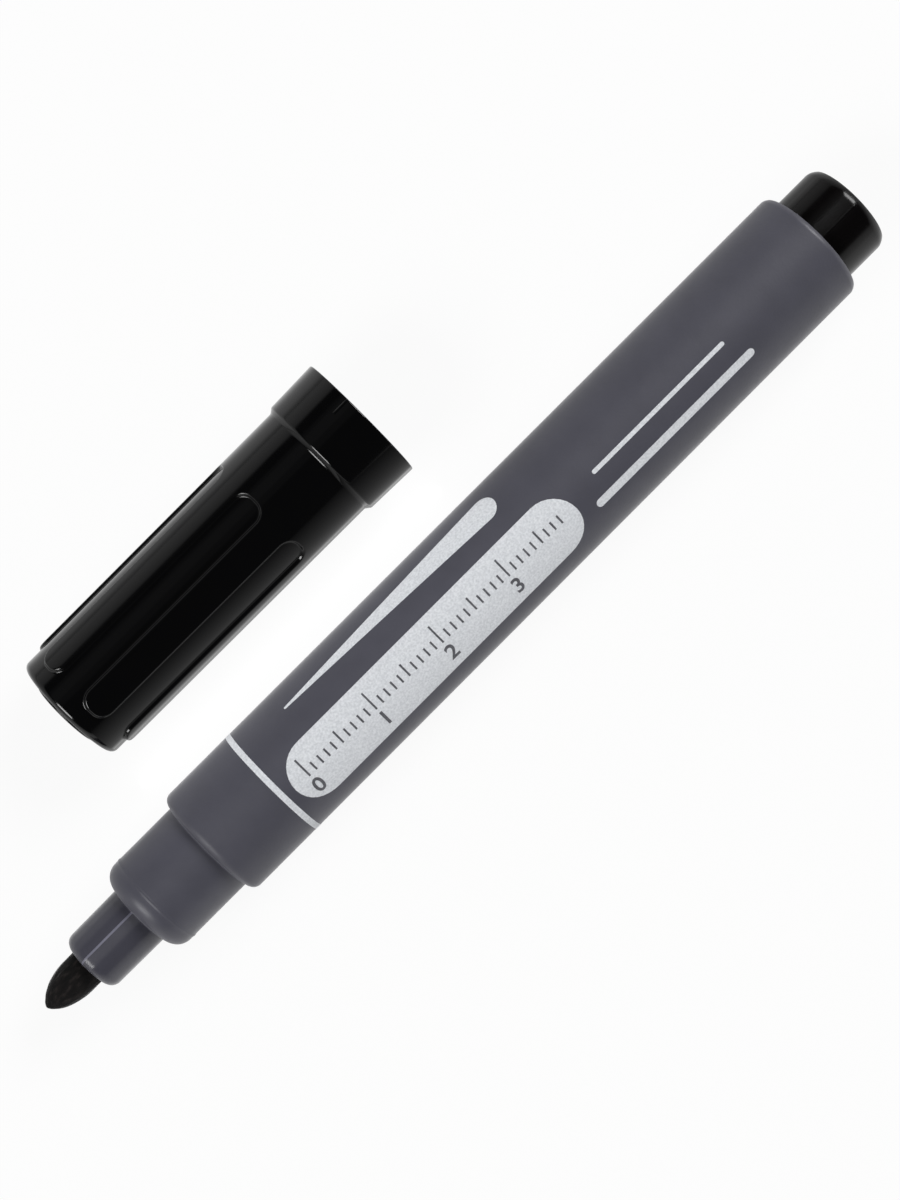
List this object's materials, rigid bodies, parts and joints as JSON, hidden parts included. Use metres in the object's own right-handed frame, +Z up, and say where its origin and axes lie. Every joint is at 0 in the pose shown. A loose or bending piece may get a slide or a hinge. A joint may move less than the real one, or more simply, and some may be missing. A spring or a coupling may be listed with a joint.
{
  "type": "permanent marker",
  "caption": "Round permanent marker lying uncapped beside its cap: grey barrel with narrower neck and nozzle, bullet felt nib, black rear plug, black cap with raised tongues.",
  "frame": {"origin": "middle of the box round marker and cap, on the surface that both lie on", "axes": "+X along the marker from its nib towards its rear plug, +Y from the marker towards the cap beside it, +Z up from the surface"},
  "size_m": [0.1238, 0.036, 0.0157],
  "materials": {
    "barrel_plastic": "dark grey moulded polypropylene, finely textured barrel and smooth glossy nozzle",
    "black_plastic": "polished black polypropylene",
    "seal_plastic": "smooth black polyethylene",
    "nib_felt": "bonded fibre soaked in black ink",
    "filler_fibre": "ink-soaked polyester fibre",
    "filler_film": "thin wrapped film",
    "silver_print": "silver screen-printed ink on the barrel",
    "dark_print": "dark screen-printed ink over the silver"
  },
  "bodies": {
    "marker": {"barrel": "barrel_plastic", "rear_plug": "black_plastic", "nib": "nib_felt", "ink_filler": "filler_fibre", "filler_film": "filler_film"},
    "cap": {"cap_shell": "black_plastic", "cap_seal": "seal_plastic"}
  },
  "joints": [
    {"name": "cap_slide", "type": "slide", "parent": "marker", "child": "cap", "axis": [-1, 0, 0], "range_m": [0, 0.073]}
  ]
}
